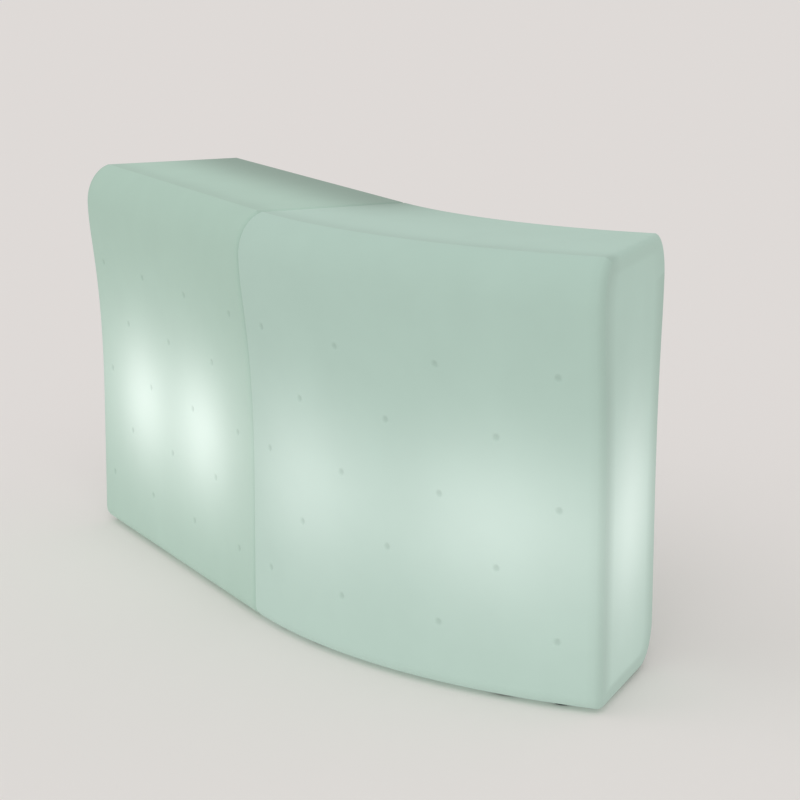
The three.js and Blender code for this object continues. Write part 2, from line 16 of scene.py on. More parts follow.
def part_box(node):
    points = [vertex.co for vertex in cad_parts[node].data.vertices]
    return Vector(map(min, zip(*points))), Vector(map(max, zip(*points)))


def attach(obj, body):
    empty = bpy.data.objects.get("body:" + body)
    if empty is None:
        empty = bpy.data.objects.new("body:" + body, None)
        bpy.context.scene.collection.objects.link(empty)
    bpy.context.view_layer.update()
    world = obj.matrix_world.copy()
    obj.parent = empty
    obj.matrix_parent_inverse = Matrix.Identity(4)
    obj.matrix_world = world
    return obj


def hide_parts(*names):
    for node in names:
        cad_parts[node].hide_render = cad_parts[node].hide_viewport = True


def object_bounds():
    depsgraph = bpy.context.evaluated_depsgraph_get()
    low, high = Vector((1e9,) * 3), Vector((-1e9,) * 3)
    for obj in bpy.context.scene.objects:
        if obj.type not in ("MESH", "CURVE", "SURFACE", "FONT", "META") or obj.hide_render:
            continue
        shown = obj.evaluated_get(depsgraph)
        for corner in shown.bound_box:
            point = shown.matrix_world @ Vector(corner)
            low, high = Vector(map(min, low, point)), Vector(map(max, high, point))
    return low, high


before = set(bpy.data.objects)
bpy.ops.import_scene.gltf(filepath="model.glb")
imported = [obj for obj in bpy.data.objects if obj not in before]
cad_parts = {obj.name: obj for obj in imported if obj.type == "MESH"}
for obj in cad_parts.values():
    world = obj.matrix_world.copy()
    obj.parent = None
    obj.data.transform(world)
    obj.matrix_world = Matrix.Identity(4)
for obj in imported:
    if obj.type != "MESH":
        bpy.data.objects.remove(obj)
CAD_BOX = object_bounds()

bl_info = {
    "name": "Illuminated bar counter",
    "version": (1, 0, 0),
    "blender": (4, 5, 0),
    "location": "3D View > Sidebar > Bar counter",
    "description": "Builds a moulded bar counter that is lit from inside, with shelf niches at the rear",
    "category": "Add Mesh",
}

BODY = "counter"
NEAR_ZERO = 1e-6
QUARTER = math.pi / 2


def mm(value):
    """Millimetres as metres."""
    return value / 1000


def linear(code):
    """An sRGB hex colour as linear numbers."""
    channels = [int(code[i:i + 2], 16) / 255 for i in (1, 3, 5)]
    return tuple(c / 12.92 if c <= 0.04045 else ((c + 0.055) / 1.055) ** 2.4 for c in channels)


def opaque(base, level=1.0):
    """A colour times a level, as the four numbers of a colour socket."""
    return (*(channel * level for channel in base), 1.0)


def length(name, description, default):
    """A size that a user can change, in metres."""
    return FloatProperty(
        name=name, description=description, default=default, min=0, unit="LENGTH", subtype="DISTANCE"
    )


def colour(name, description, code):
    """A colour that a user can change, from its sRGB hex value."""
    return FloatVectorProperty(
        name=name, description=description, default=linear(code), size=3, min=0, max=1, subtype="COLOR"
    )


class ShellSizes(bpy.types.PropertyGroup):
    """Sizes of the two moulded shells and their dimples."""

    height: length("Height", "Floor to counter top", CAD_BOX[1].z)
    base: length("Base", "Floor to the underside of the shells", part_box("straight_shell")[0].z)
    depth: length("Depth", "Plumb front face to plumb rear face", mm(470))
    straight: length("Straight length", "Straight module, end to end", mm(1170))
    radius: length("Curve radius", "Plan radius of the curved module's plumb front face", mm(1600))
    sweep: FloatProperty(
        name="Curve sweep", description="Angle between the curved module's ends",
        default=math.radians(43), min=0, subtype="ANGLE",
    )
    seam: length("Seam", "Gap between the facing ends of the two modules", mm(1))
    wall: length("Wall", "Thickness of the moulded wall", mm(7))
    end_round: length("End radius", "Round edges of the modules' ends", mm(18))
    front_round: length("Front foot radius", "Round lower edge of the front", mm(35))
    rear_round: length("Rear foot radius", "Round lower edge of the rear", mm(108))
    overhang: length("Nose overhang", "How far each nose stands out over its plumb face", mm(40))
    nose_depth: length("Nose depth", "Tip of the nose to the crease where the flat top starts", mm(68))
    nose_height: length("Nose height", "Tip of the nose to the top", mm(108))
    nose_sweep: FloatProperty(
        name="Nose sweep", description="Turn of the nose's ellipse from its tip to the crease",
        default=math.radians(78), min=0, subtype="ANGLE",
    )
    flare: length("Flare start", "Height at which the plumb face starts to lean out", mm(410))
    columns: IntProperty(name="Dimple columns", description="Columns of dimples", default=7, min=1)
    rows: IntProperty(name="Dimple rows", description="Rows of dimples", default=5, min=1)
    column_pitch: length("Dimple column pitch", "Between columns of dimples", mm(163))
    first_row: length("First dimple row", "Floor to the lowest row of dimples", mm(173))
    row_pitch: length("Dimple row pitch", "Between rows of dimples", mm(161))
    dimple_radius: length("Dimple radius", "Rim radius of a dimple", mm(10))
    dimple_depth: length("Dimple depth", "Depth of a dimple", mm(3))


class NicheSizes(bpy.types.PropertyGroup):
    """Sizes of the rear niches, their liners and their shelves."""

    side: length("Niche side", "Module end to the niche", mm(65))
    back: length("Niche back", "Plumb front face to the niche's back wall", mm(165))
    bottom: length("Niche bottom", "Floor to the niche's floor", mm(150))
    headroom: length("Niche headroom", "Niche ceiling to counter top", mm(120))
    corner: length("Niche corner", "Corner radius of the niche", mm(25))
    wall: length("Liner wall", "Thickness of the niche liner", mm(4))
    clearance: length("Liner clearance", "Around the liner in the shell's opening", mm(1))
    seat: length("Seat", "Clearance between pieces that rest on each other", mm(0.3))
    flange: length("Flange width", "Liner flange around the niche", mm(24))
    shelf_setback: length("Shelf setback", "Rear face to the shelf's open edge", mm(20))
    shelf_gap: length("Shelf gap", "Around a shelf board", mm(2))
    screw_pitch: length("Screw pitch", "Between the flange's screws", mm(150))
    screw_radius: length("Screw head radius", "Head radius of a flange screw", mm(5))


class CounterColours(bpy.types.PropertyGroup):
    """Colours of the counter's materials."""

    polyethylene: colour("Polyethylene", "Moulded shells, unlit", "#8EA397")
    straight_haze: colour("Straight haze", "Light that the straight module's wall spreads", "#DEFFEE")
    curved_haze: colour("Curved haze", "Light that the curved module's wall spreads", "#E2FFF4")
    lamplight: colour("Lamplight", "Light that shines through close to a lamp", "#FFFFFF")
    liner: colour("Liner", "Niche liners, unlit", "#A9BEB3")
    laminate: colour("Laminate", "Shelf boards", "#E1E7E3")
    aluminium: colour("Aluminium", "Rails and brackets", "#BDC1C3")
    zinc: colour("Zinc", "Lamp plates, link plates, bolts and screws", "#A9AEB0")
    nylon: colour("Nylon", "Levelling feet and cable glands", "#24272A")
    white: colour("White plastic", "Lamp holders, ballasts and wires", "#DFE1DE")
    phosphor: colour("Phosphor", "Lamp tubes", "#FAFCF8")
    floor: colour("Floor", "Studio floor", "#F0EBE8")
    backdrop: colour("Backdrop", "What shows beyond the floor", "#DDD9D6")


Plan = namedtuple("Plan", "name length place yaw")


def plans(shell):
    """The two modules' spaces, laid out along a line and along an arc."""
    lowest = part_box("straight_shell")[0]
    shift = Vector((lowest.x + shell.straight + shell.seam / 2, lowest.y + shell.overhang, 0))
    arc_start = shell.seam / 2

    def straight(s, n, z):
        return Vector((s - shell.straight - shell.seam / 2, n, z)) + shift

    def curved(s, n, z):
        angle = s / shell.radius
        reach = shell.radius - n
        x = arc_start + reach * math.sin(angle)
        return Vector((x, shell.radius - reach * math.cos(angle), z)) + shift

    return [
        Plan("straight", shell.straight, straight, lambda s: 0.0),
        Plan("curved", shell.radius * shell.sweep, curved, lambda s: s / shell.radius),
    ]


def spread(lines, step):
    """The given lines in order, with even lines between them so that none are further apart than step."""
    marks = sorted(lines)
    filled = [marks[0]]
    for low, high in zip(marks, marks[1:]):
        parts = max(1, math.ceil((high - low) / step - NEAR_ZERO))
        filled += [low + (high - low) * (i + 1) / parts for i in range(parts)]
    return filled


def arc(centre, radii, start, end, facets):
    """Points along part of an ellipse, both ends included."""
    turns = [start + (end - start) * i / facets for i in range(facets + 1)]
    return [(centre[0] + radii[0] * math.cos(t), centre[1] + radii[1] * math.sin(t)) for t in turns]


def nose_tip(shell):
    """Height at which the nose stands out furthest."""
    return shell.height - shell.nose_height


def nose_axes(shell):
    """Half the width and half the height of the ellipse that the nose is part of."""
    width = shell.nose_depth / (1 - math.cos(shell.nose_sweep))
    return width, shell.nose_height / math.sin(shell.nose_sweep)


SLOPE_STEP = mm(1)


def slope(face, z):
    """How fast a face's depth changes with height."""
    return (face(z + SLOPE_STEP) - face(z - SLOPE_STEP)) / (2 * SLOPE_STEP)


def lean(shell, z):
    """How far the front and rear faces stand out at a height: not at all at the flare, fully at the tip."""
    rise = min(max((z - shell.flare) / (nose_tip(shell) - shell.flare), 0), 1)
    return shell.overhang * rise ** 2 * (1 + 2 * (1 - rise) * rise ** 4)


def rear_face(shell, z):
    """Depth of the outer rear face at a height, up onto the rear nose."""
    over = z - nose_tip(shell)
    if over <= 0:
        return shell.depth + lean(shell, z)
    width, rise = nose_axes(shell)
    return shell.depth + shell.overhang - width * (1 - math.sqrt(1 - (over / rise) ** 2))


SMOOTH_ANGLE = math.radians(34)
# Softened CAD copies: points this close are one, faces this flat are one, edges this sharp are rounded.
WELD = mm(0.01)
FLAT_ANGLE = math.radians(1)
EDGE_ANGLE = math.radians(30)
EDGE_SEGMENTS = 2


def mesh_object(name, mesh, material, nodes=(), body=BODY):
    """A finished piece: a smooth mesh at the origin that rides on a body and stands for CAD nodes."""
    mesh.name = name
    mesh.materials.clear()
    mesh.materials.append(material)
    mesh.shade_smooth()
    mesh.set_sharp_from_angle(angle=SMOOTH_ANGLE)
    piece = bpy.data.objects.new(name, mesh)
    bpy.context.scene.collection.objects.link(piece)
    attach(piece, body)
    if nodes:
        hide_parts(*nodes)
    return piece


def closed_mesh(build):
    """A mesh from a bmesh with its faces turned outwards."""
    bmesh.ops.recalc_face_normals(build, faces=build.faces)
    mesh = bpy.data.meshes.new("piece")
    build.to_mesh(mesh)
    build.free()
    return mesh


def strip(build, first, second, closed=True):
    """Quads between two rings of equal count."""
    count = len(first)
    for i in range(count if closed else count - 1):
        j = (i + 1) % count
        build.faces.new((first[i], first[j], second[j], second[i]))


def turned(profile, segments=48):
    """A closed turned mesh about Z, from radii and heights in order from one axis point to the other."""
    build = bmesh.new()
    rings = []
    for radius, z in profile:
        if radius < NEAR_ZERO:
            rings.append([build.verts.new((0, 0, z))])
            continue
        turns = [2 * math.pi * i / segments for i in range(segments)]
        rings.append([build.verts.new((radius * math.cos(t), radius * math.sin(t), z)) for t in turns])
    for low, high in zip(rings, rings[1:]):
        if len(low) == len(high) > 1:
            strip(build, low, high)
        elif len(low) != len(high):
            tip, ring = (low[0], high) if len(low) == 1 else (high[0], low)
            for i in range(segments):
                build.faces.new((tip, ring[i], ring[(i + 1) % segments]))
    return closed_mesh(build)


def softened(node, width):
    """A copy of a CAD node's mesh with its flat faces joined and its edges rounded."""
    build = bmesh.new()
    build.from_mesh(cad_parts[node].data)
    bmesh.ops.remove_doubles(build, verts=build.verts, dist=WELD)
    bmesh.ops.dissolve_limit(build, angle_limit=FLAT_ANGLE, verts=build.verts, edges=build.edges)
    sharp = [e for e in build.edges if e.is_manifold and e.calc_face_angle() > EDGE_ANGLE]
    bmesh.ops.bevel(
        build, geom=sharp, offset=width, segments=EDGE_SEGMENTS, profile=0.5, affect="EDGES",
        clamp_overlap=True,
    )
    return closed_mesh(build)


# Materials

# A Mix node has sockets of one name for each type of data. These are its colour ones.
MIX_A, MIX_B, MIX_RESULT = 6, 7, 2
# Noise: soft for clouds of colour, fine for a moulded or pressed texture.
SOFT = {"Detail": 2.0, "Roughness": 0.55}
FINE = {"Detail": 3.0, "Roughness": 0.55}


def add_node(tree, kind, inputs=None, **settings):
    """A node with its settings, and with its inputs set to values or linked to sockets."""
    made = tree.nodes.new(kind)
    for name, value in settings.items():
        setattr(made, name, value)
    for key, value in (inputs or {}).items():
        if isinstance(value, bpy.types.NodeSocket):
            tree.links.new(value, made.inputs[key])
        else:
            made.inputs[key].default_value = value
    return made


def new_material(name):
    """An empty node material with a Principled shader, and the Object coordinates that it reads."""
    material = bpy.data.materials.new(name)
    material.use_nodes = True
    tree = material.node_tree
    tree.nodes.clear()
    shader = add_node(tree, "ShaderNodeBsdfPrincipled")
    add_node(tree, "ShaderNodeOutputMaterial", {"Surface": shader.outputs[0]})
    place = add_node(tree, "ShaderNodeTexCoord").outputs["Object"]
    return material, tree, shader, place


def finish_surface(tree, shader, base, tone, tones, texture, roughness, relief):
    """Shades a colour by one pattern between two levels, and sets roughness and bump by another."""
    depth, strength = relief
    shaded = add_node(
        tree, "ShaderNodeMix",
        {"Factor": tone, MIX_A: opaque(base, tones[0]), MIX_B: opaque(base, tones[1])}, data_type="RGBA")
    wear = add_node(
        tree, "ShaderNodeMapRange", {"Value": texture, "To Min": roughness[0], "To Max": roughness[1]})
    bumps = add_node(tree, "ShaderNodeBump", {"Height": texture, "Distance": depth, "Strength": strength})
    tree.links.new(shaded.outputs[MIX_RESULT], shader.inputs["Base Color"])
    tree.links.new(wear.outputs[0], shader.inputs["Roughness"])
    tree.links.new(bumps.outputs[0], shader.inputs["Normal"])


def glow_spot(tree, place, spot):
    """Light that falls off as a bell curve around a lamp: centre, reach along each axis, and level."""
    centre, reach, level = spot
    away = add_node(tree, "ShaderNodeVectorMath", {0: place, 1: centre}, operation="SUBTRACT")
    scaled = add_node(tree, "ShaderNodeVectorMath", {0: away.outputs[0], 1: reach}, operation="DIVIDE")
    square = add_node(
        tree, "ShaderNodeVectorMath", {0: scaled.outputs[0], 1: scaled.outputs[0]}, operation="DOT_PRODUCT"
    )
    half = add_node(tree, "ShaderNodeMath", {0: square.outputs["Value"], 1: -0.5}, operation="MULTIPLY")
    bell = add_node(tree, "ShaderNodeMath", {0: half.outputs[0]}, operation="EXPONENT")
    return add_node(tree, "ShaderNodeMath", {0: bell.outputs[0], 1: level}, operation="MULTIPLY").outputs[0]


def lit_polyethylene(name, base, haze, lamplight, level, spots, roughness):
    """Rotomoulded polyethylene: a waxy satin skin with a faint orange peel, lit through from inside.

    The wall's own haze is all over it, the lamps shine through as spots, and the piece's shade attribute
    says where a thick corner or another piece behind it holds the light back.
    """
    material, tree, shader, place = new_material(name)
    cloud = add_node(tree, "ShaderNodeTexNoise", {"Vector": place, "Scale": 1 / mm(160), **SOFT}).outputs[0]
    # Orange peel is about 2 mm across on a real moulding, and is drawn at 5 mm so that it shows.
    peel = add_node(tree, "ShaderNodeTexNoise", {"Vector": place, "Scale": 1 / mm(5), **FINE}).outputs[0]
    finish_surface(
        tree, shader, base, cloud, (0.97, 1.03), peel, (roughness - 0.05, roughness + 0.07), (mm(0.25), 0.35))
    total = 0.0
    for spot in spots:
        light = glow_spot(tree, place, spot)
        total = add_node(tree, "ShaderNodeMath", {0: light, 1: total}, operation="ADD").outputs[0]
    veil = add_node(
        tree, "ShaderNodeMix",
        {"Factor": cloud, MIX_A: opaque(haze, level * 0.96), MIX_B: opaque(haze, level * 1.04)},
        data_type="RGBA")
    shine = add_node(
        tree, "ShaderNodeMix",
        {"Factor": total, MIX_A: veil.outputs[MIX_RESULT], MIX_B: opaque(lamplight)},
        data_type="RGBA", blend_type="ADD", clamp_factor=False)
    shade = add_node(tree, "ShaderNodeAttribute", attribute_name="shade").outputs["Fac"]
    through = add_node(
        tree, "ShaderNodeMix",
        {"Factor": shade, MIX_A: shine.outputs[MIX_RESULT], MIX_B: (0.0, 0.0, 0.0, 1.0)}, data_type="RGBA")
    tree.links.new(through.outputs[MIX_RESULT], shader.inputs["Emission Color"])
    shader.inputs["Emission Strength"].default_value = 1.0
    shader.inputs["IOR"].default_value = 1.51
    shader.inputs["Specular IOR Level"].default_value = 0.15
    return material


def plain_plastic(name, base, grit, roughness):
    """Injection-moulded plastic: an even colour with a fine spark-eroded grain.

    The real grain is a few tenths of a millimetre, and grit is coarser so that it shows.
    """
    material, tree, shader, place = new_material(name)
    fine = add_node(tree, "ShaderNodeTexNoise", {"Vector": place, "Scale": 1 / grit, **FINE}).outputs[0]
    finish_surface(
        tree, shader, base, fine, (0.92, 1.06), fine, (roughness - 0.08, roughness + 0.08), (mm(0.15), 0.4))
    return material


def compact_laminate(base):
    """White compact laminate: a smooth hard face with a faint pearl texture that breaks up the shine."""
    material, tree, shader, place = new_material("compact_laminate")
    # The pearl texture is well under a millimetre on a real board, and is drawn at 1.8 mm so that it shows.
    pearl = add_node(tree, "ShaderNodeTexNoise", {"Vector": place, "Scale": 1 / mm(1.8), **SOFT}).outputs[0]
    cloud = add_node(tree, "ShaderNodeTexNoise", {"Vector": place, "Scale": 1 / mm(90), **SOFT}).outputs[0]
    finish_surface(tree, shader, base, cloud, (0.97, 1.02), pearl, (0.3, 0.46), (mm(0.08), 0.3))
    return material


def anodised_aluminium(base):
    """Extruded and anodised aluminium: soft grey metal with fine lines along the extrusion."""
    material, tree, shader, place = new_material("anodised_aluminium")
    # Die lines are about 0.2 mm apart on real metal, and are drawn at 1.2 mm so that they show.
    across, along = 1 / mm(1.2), 1 / mm(40)
    lines = add_node(tree, "ShaderNodeMapping", {"Vector": place, "Scale": (across, along, across)})
    drawn = add_node(
        tree, "ShaderNodeTexNoise", {"Vector": lines.outputs[0], "Scale": 1.0, "Detail": 2.0}).outputs[0]
    finish_surface(tree, shader, base, drawn, (0.9, 1.05), drawn, (0.32, 0.48), (mm(0.05), 0.3))
    shader.inputs["Metallic"].default_value = 1.0
    return material


def zinc_plate(base):
    """Galvanised steel: grey metal whose zinc crystals, about 9 mm across, catch the light one by one."""
    material, tree, shader, place = new_material("galvanised_steel")
    spangle = add_node(tree, "ShaderNodeTexVoronoi", {"Vector": place, "Scale": 1 / mm(9)})
    crystal = add_node(tree, "ShaderNodeSeparateColor", {0: spangle.outputs["Color"]}).outputs[0]
    finish_surface(tree, shader, base, crystal, (0.84, 1.08), crystal, (0.34, 0.55), (mm(0.03), 0.25))
    shader.inputs["Metallic"].default_value = 1.0
    return material


def opal_glass(base):
    """Fluorescent tube: white phosphor behind clear glass, lit evenly."""
    material, tree, shader, place = new_material("opal_lamp_glass")
    coat = add_node(tree, "ShaderNodeTexNoise", {"Vector": place, "Scale": 1 / mm(12), **SOFT}).outputs[0]
    for name, low in (("Base Color", 0.96), ("Emission Color", 0.9)):
        shaded = add_node(
            tree, "ShaderNodeMix", {"Factor": coat, MIX_A: opaque(base, low), MIX_B: opaque(base)},
            data_type="RGBA")
        tree.links.new(shaded.outputs[MIX_RESULT], shader.inputs[name])
    shader.inputs["Emission Strength"].default_value = 1.0
    shader.inputs["Roughness"].default_value = 0.12
    return material


# Shells

DIMPLE_CELL = mm(14)
DIMPLE_SEGMENTS = 24
# Dimple section: share of the rim radius, share of the depth.
DIMPLE_RINGS = [(1.25, 0.0), (1.08, 0.06), (0.96, 0.22), (0.8, 0.5), (0.6, 0.77), (0.38, 0.93), (0.18, 0.99)]
GRID_STEP = mm(30)
CREASE_SOFTNESS = mm(3)
LEAST_ROUND = mm(1)
ROUND_STEPS = 7
TABLE_STEPS = 16
SHELL_ROUGHNESS = 0.58
# Rings on a module's flat end: distance from its round edge, then shares of the end's depth and height.
CAP_MARGINS = (mm(8), mm(16))
CAP_SHARES = ((0.94, 0.995), (0.85, 0.985), (0.7, 0.975))
# Shares of the lamplight that are held back: at a free end, at the seam and elsewhere.
CORNER_SHADE = 0.26
SEAM_SHADE = 0.2
CREASE_SHADE = 0.2
REAR_SHADE = 0.7
NICHE_SHADE = 0.88
DIMPLE_SHADE = 0.25
# From a free end: where the shade of the corner ends, and the share of it that the flat top is spared.
CORNER_REACH = mm(28)
TABLE_RELIEF = 0.6
# Over the top: where the shade of the crease ends, and where that of the niche starts and is full.
CREASE_REACH = mm(80)
NICHE_SHADE_START = mm(150)
NICHE_SHADE_FULL = mm(430)
# Along the curved module from the seam: how far the straight module's niche shades the top.
SEAM_SHADE_REACH = mm(200)


def dimple_places(shell, plan):
    """Centres of the dimples on a module's front: rows are staggered by half a pitch."""
    margin = (plan.length - (shell.columns - 1) * shell.column_pitch) / 2
    for row in range(shell.rows):
        for column in range(row % 2, shell.columns, 2):
            yield margin + column * shell.column_pitch, shell.first_row + row * shell.row_pitch


def ease(share):
    """A share from 0 to 1 with a soft start and a soft end."""
    share = min(max(share, 0), 1)
    return share * share * (3 - 2 * share)


def held_back(shell, plan, s, inset, side, n):
    """Share of the lamplight that does not reach a point of the skin."""
    at_seam = (s > plan.length / 2) == (plan.name == "straight")
    rounded = ease(inset / shell.end_round)
    from_end = min(s, plan.length - s)
    corner = SEAM_SHADE * rounded if at_seam else CORNER_SHADE * ease(1 - from_end / CORNER_REACH)
    if side == "rear":
        return corner + REAR_SHADE * (1 - rounded)
    if side == "foot":
        return corner + REAR_SHADE * (1 - rounded) * ease(2 * n / shell.depth - 1)
    if side == "front":
        return corner
    behind = n - (shell.nose_depth - shell.overhang)
    corner *= 1 - TABLE_RELIEF * ease(behind / CREASE_REACH)
    crease = CREASE_SHADE * ease(1 - behind / CREASE_REACH) if behind > 0 else 0
    niche = NICHE_SHADE * ease((n - NICHE_SHADE_START) / (NICHE_SHADE_FULL - NICHE_SHADE_START))
    if plan.name == "curved":
        niche *= math.exp(-s / SEAM_SHADE_REACH)
    over_rear = ease((n - shell.depth + shell.overhang) / (2 * shell.overhang))
    return corner + (1 - rounded) * max(crease, niche + (REAR_SHADE - niche) * over_rear)


def section(shell, inset, fronts, rears):
    """The shell's section in n and z as (side, point), drawn in by inset, with lines at given heights."""
    front, rear, low = inset, shell.depth - inset, shell.base + inset
    front_round = max(shell.front_round - inset, LEAST_ROUND)
    rear_round = max(shell.rear_round - inset, LEAST_ROUND)
    width, rise = nose_axes(shell)
    axes = (width - inset, rise - inset)
    tip, top = nose_tip(shell), shell.height - inset
    sweep = math.asin((shell.nose_height - inset) / axes[1])
    rear_nose = arc((shell.depth + shell.overhang - width, tip), axes, 0, sweep, 2 * ROUND_STEPS)
    front_nose = arc((width - shell.overhang, tip), axes, math.pi - sweep, math.pi, 2 * ROUND_STEPS)
    back, fore = rear_nose[-1][0] - CREASE_SOFTNESS, front_nose[0][0] + CREASE_SOFTNESS
    table = [(back + (fore - back) * i / TABLE_STEPS, top) for i in range(TABLE_STEPS + 1)]
    front_foot = arc(
        (front + front_round, low + front_round), (front_round,) * 2, 2 * QUARTER, 3 * QUARTER, ROUND_STEPS)
    rear_foot = arc(
        (rear - rear_round, low + rear_round), (rear_round,) * 2, -QUARTER, 0, 2 * ROUND_STEPS)
    ring = [("foot", p) for p in front_foot + rear_foot[:-1]]
    ring += [("rear", (rear + lean(shell, z), z)) for z in rears[:-1]]
    ring += [("rear", rear_nose[0])] + [("top", p) for p in rear_nose[1:] + table + front_nose[:-1]]
    ring += [("front", front_nose[-1])]
    ring += [("front", (front - lean(shell, z), z)) for z in fronts[-2:0:-1]]
    ring[0] = ("front", ring[0][1])
    return ring


def dimple_patch(build, shade, shell, plan, centre, corners):
    """A square of the front face with a dimple in it. corners run anticlockwise from the lower left."""
    s, z = centre
    tilt = slope(lambda height: lean(shell, height), z)
    stretch = 1 / math.hypot(1, tilt)
    quarter = DIMPLE_SEGMENTS // 4
    rings = []
    for share, sunk in DIMPLE_RINGS:
        ring = []
        for i in range(DIMPLE_SEGMENTS):
            turn = 2 * math.pi * i / DIMPLE_SEGMENTS
            reach = share * shell.dimple_radius
            height = z + reach * math.sin(turn) * stretch
            depth = sunk * shell.dimple_depth
            n = depth * stretch - lean(shell, height)
            sunk_height = height + depth * tilt * stretch
            vert = build.verts.new(plan.place(s + reach * math.cos(turn), n, sunk_height))
            vert[shade] = DIMPLE_SHADE * sunk
            ring.append(vert)
        rings.append(ring)
    floor_n = shell.dimple_depth * stretch - lean(shell, z)
    floor = build.verts.new(plan.place(s, floor_n, z + shell.dimple_depth * tilt * stretch))
    floor[shade] = DIMPLE_SHADE
    lower_left, lower_right, upper_right, upper_left = corners
    for q, corner in enumerate((upper_right, upper_left, lower_left, lower_right)):
        following = (upper_left, lower_left, lower_right, upper_right)[q]
        for k in range(quarter):
            a = rings[0][(q * quarter + k) % DIMPLE_SEGMENTS]
            b = rings[0][(q * quarter + k + 1) % DIMPLE_SEGMENTS]
            build.faces.new((corner, b, a))
        build.faces.new((corner, following, rings[0][(q + 1) * quarter % DIMPLE_SEGMENTS]))
    for outer, inner in zip(rings, rings[1:]):
        strip(build, outer, inner)
    for i in range(DIMPLE_SEGMENTS):
        build.faces.new((rings[-1][i], rings[-1][(i + 1) % DIMPLE_SEGMENTS], floor))


def close_end(build, shade, edges, middle):
    """A module's flat end, inside its drawn-in edges: rings whose shade fades out, and a face."""
    innermost = CAP_SHARES[-1][0]
    rim = edges[-1]
    for across, up in CAP_SHARES:
        fade = (across - innermost) / (1 - innermost)
        ring = []
        for vert in rim:
            away = vert.co - middle
            ring.append(build.verts.new(middle + Vector((away.x * across, away.y * across, away.z * up))))
            ring[-1][shade] = fade * vert[shade]
        edges.append(ring)
    for first, second in zip(edges, edges[1:]):
        strip(build, first, second)
    build.faces.new(edges[-1])


def shell_mesh(shell, niche, plan):
    """A hollow moulded shell with a dimpled front and an opening at the rear for the niche liner."""
    around = niche.wall + niche.clearance
    opening_s = (niche.side - around, plan.length - niche.side + around)
    opening_z = (niche.bottom - around, shell.height - niche.headroom + around)
    places = list(dimple_places(shell, plan))
    tip = nose_tip(shell)
    rows = {round(z + side * DIMPLE_CELL, 6) for _, z in places for side in (-1, 1)}
    columns = {round(s + side * DIMPLE_CELL, 6) for s, _ in places for side in (-1, 1)}
    fronts = spread({shell.base + shell.front_round, tip} | rows, GRID_STEP)
    rears = spread({shell.base + shell.rear_round, tip, *opening_z}, GRID_STEP)
    along = spread({shell.end_round, plan.length - shell.end_round, *opening_s} | columns, GRID_STEP)
    turns = [QUARTER * i / ROUND_STEPS for i in range(ROUND_STEPS)]

    def stations(depth):
        """Places along the module and how far its section is drawn in there, at a depth in the wall."""
        radius = shell.end_round - depth
        left = [(depth + radius * (1 - math.cos(t)), depth + radius * (1 - math.sin(t))) for t in turns]
        return left + [(s, depth) for s in along] + [(plan.length - s, inset) for s, inset in left[::-1]]

    build = bmesh.new()
    shade = build.verts.layers.float.new("shade")

    def loop(s, inset, drawn=0.0):
        verts = []
        for side, (n, z) in section(shell, inset + drawn, fronts, rears):
            vert = build.verts.new(plan.place(s, n, z))
            vert[shade] = held_back(shell, plan, s, inset, side, n)
            verts.append(vert)
        return verts

    outer_path, inner_path = stations(0.0), stations(shell.wall)
    outer, inner = [loop(*at) for at in outer_path], [loop(*at) for at in inner_path]
    ring = section(shell, 0.0, fronts, rears)
    count = len(ring)
    marks = [s for s, _ in outer_path]
    cells = {}
    for s, z in places:
        i = min(range(len(marks)), key=lambda k: abs(marks[k] - (s - DIMPLE_CELL)))
        low = z - DIMPLE_CELL
        j = min((k for k in range(count) if ring[k][0] == "front"), key=lambda k: abs(ring[k][1][1] - low))
        cells[(i, j - 1)] = (s, z)

    def in_opening(i, j, k):
        middle_s, middle_z = (marks[i] + marks[i + 1]) / 2, (ring[j][1][1] + ring[k][1][1]) / 2
        rear = ring[j][0] == ring[k][0] == "rear"
        return rear and opening_s[0] < middle_s < opening_s[1] and opening_z[0] < middle_z < opening_z[1]

    opened = set()
    for i in range(len(marks) - 1):
        for j in range(count):
            k = (j + 1) % count
            if in_opening(i, j, k):
                opened.add((i, j))
                continue
            build.faces.new((inner[i][j], inner[i + 1][j], inner[i + 1][k], inner[i][k]))
            if (i, j) in cells:
                corners = (outer[i][k], outer[i + 1][k], outer[i + 1][j], outer[i][j])
                dimple_patch(build, shade, shell, plan, cells[(i, j)], corners)
            else:
                build.faces.new((outer[i][j], outer[i][k], outer[i + 1][k], outer[i + 1][j]))
    for i, j in opened:
        k = (j + 1) % count
        edges = {
            (i - 1, j): ((i, j), (i, k)), (i + 1, j): ((i + 1, j), (i + 1, k)),
            (i, j - 1): ((i, j), (i + 1, j)), (i, k): ((i, k), (i + 1, k)),
        }
        for beside, ((a, b), (c, d)) in edges.items():
            if beside not in opened:
                build.faces.new((outer[a][b], outer[c][d], inner[c][d], inner[a][b]))
    for path, loops in ((outer_path, outer), (inner_path, inner)):
        for at in (0, -1):
            edges = [loops[at]] + [loop(*path[at], margin) for margin in CAP_MARGINS]
            middle = plan.place(path[at][0], shell.depth / 2, shell.height / 2)
            close_end(build, shade, edges, middle)
    return closed_mesh(build)


# A reach so wide that the light doesn't change in that direction.
FAR = 100.0
# Light through the shells: level of the haze, and reach and level of each bell of light around a lamp,
# at a free end and along the base.
HAZE_LEVEL = {"straight": 0.233, "curved": 0.247}
LAMP_BELLS = {
    "straight": [((mm(132), mm(132), mm(126)), 0.31), ((mm(420), mm(420), mm(192)), 0.115)],
    "curved": [((mm(143), mm(143), mm(160)), 0.126), ((mm(420), mm(420), mm(141)), 0.065)],
}
END_BELL = {
    "straight": ((mm(100), mm(100), mm(180)), 0.19),
    "curved": ((mm(121), mm(121), mm(185)), 0.195),
}
BASE_BELL = {
    "straight": ((FAR, FAR, mm(330)), 0.024),
    "curved": ((FAR, FAR, mm(380)), 0.056),
}
